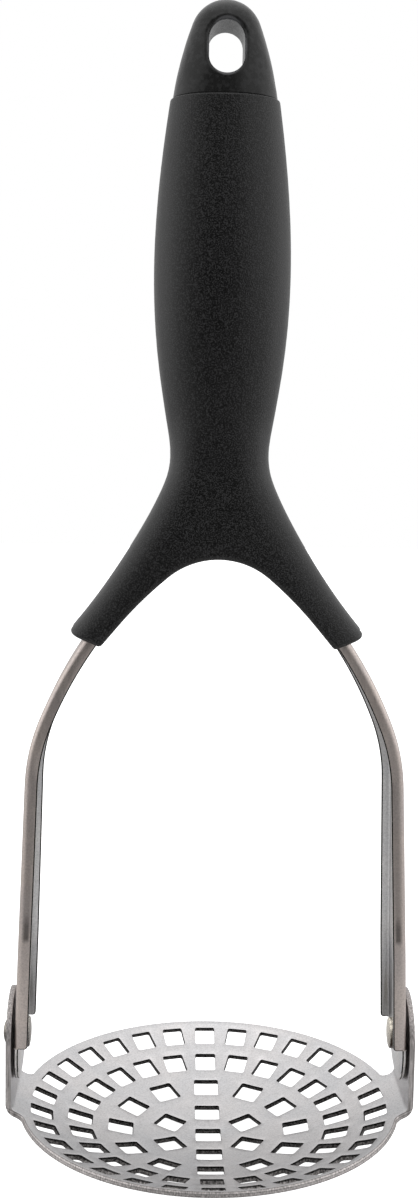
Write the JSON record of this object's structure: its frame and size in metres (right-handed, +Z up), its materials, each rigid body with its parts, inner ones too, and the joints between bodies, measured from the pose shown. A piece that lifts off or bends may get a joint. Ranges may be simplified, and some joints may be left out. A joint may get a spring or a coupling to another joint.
{
  "type": "folding potato masher",
  "caption": "Potato masher with a round dished perforated steel plate that swivels between two steel arms on a forked black grip with a hanging eye.",
  "frame": {"origin": "bottom of the dished plate's underside, in the middle of its centre hole, on the handle's middle axis", "axes": "+Z up the handle to the hanging eye, +X from the left arm to the right arm along the hinge axis, +Y through the handle's thickness"},
  "size_m": [0.1006, 0.0924, 0.2706],
  "materials": {
    "grip_plastic": "fine-textured matte black moulding",
    "cap_plastic": "smooth satin black moulding",
    "arm_steel": "satin stainless sheet",
    "plate_steel": "brushed stainless sheet",
    "rivet_steel": "bright, slightly warm steel",
    "washer_steel": "plain steel"
  },
  "bodies": {
    "frame": {"handle": "grip_plastic", "end_cap": "cap_plastic", "left_arm": "arm_steel", "right_arm": "arm_steel", "left_rivet": "rivet_steel", "right_rivet": "rivet_steel", "left_washer": "washer_steel", "right_washer": "washer_steel"},
    "plate": {"masher_plate": "plate_steel"}
  },
  "joints": [
    {"name": "plate_swivel", "type": "hinge", "parent": "frame", "child": "plate", "pos_m": [0, 0, 0.0278], "axis": [1, 0, 0], "range_deg": [-105, 105]}
  ]
}
